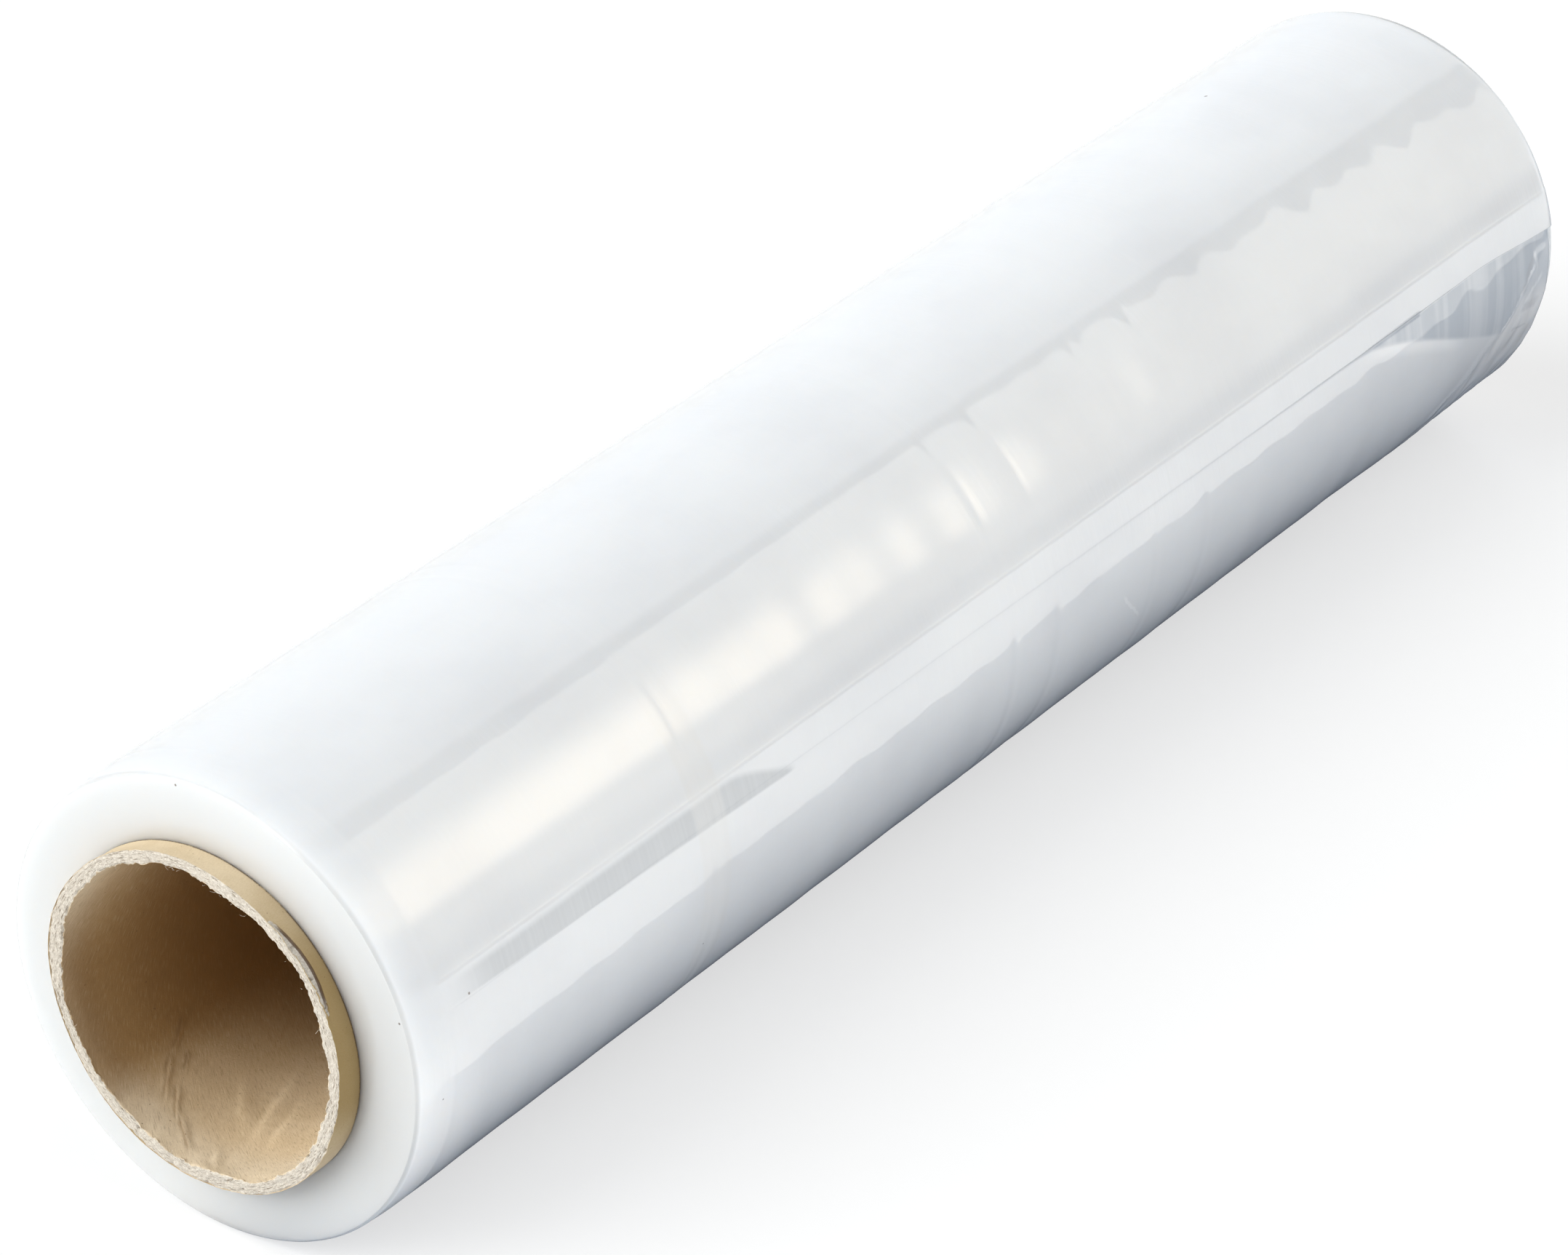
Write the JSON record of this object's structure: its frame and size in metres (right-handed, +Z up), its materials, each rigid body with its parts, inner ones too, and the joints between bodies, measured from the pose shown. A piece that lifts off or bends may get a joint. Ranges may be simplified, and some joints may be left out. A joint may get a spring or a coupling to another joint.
{
  "type": "stretch wrap roll",
  "caption": "Hand roll of clear stretch film on a paperboard core, lying on its side on a small flat spot, with the core standing out past the film at both ends.",
  "frame": {"origin": "midway along the roll, below its axis, on the surface that the flat spot lies on", "axes": "+X along the core from the near end to the far end, +Z up, -Y towards the side with the hem of the film's free end"},
  "size_m": [0.5124, 0.1148, 0.1145],
  "materials": {
    "film": "clear stretch film, milky white where many turns lie on each other, glossy",
    "core_board": "spirally wound kraft paperboard, grey chipboard at the cut ends"
  },
  "bodies": {
    "root": {"film_roll": "film", "core_tube": "core_board"}
  },
  "joints": []
}
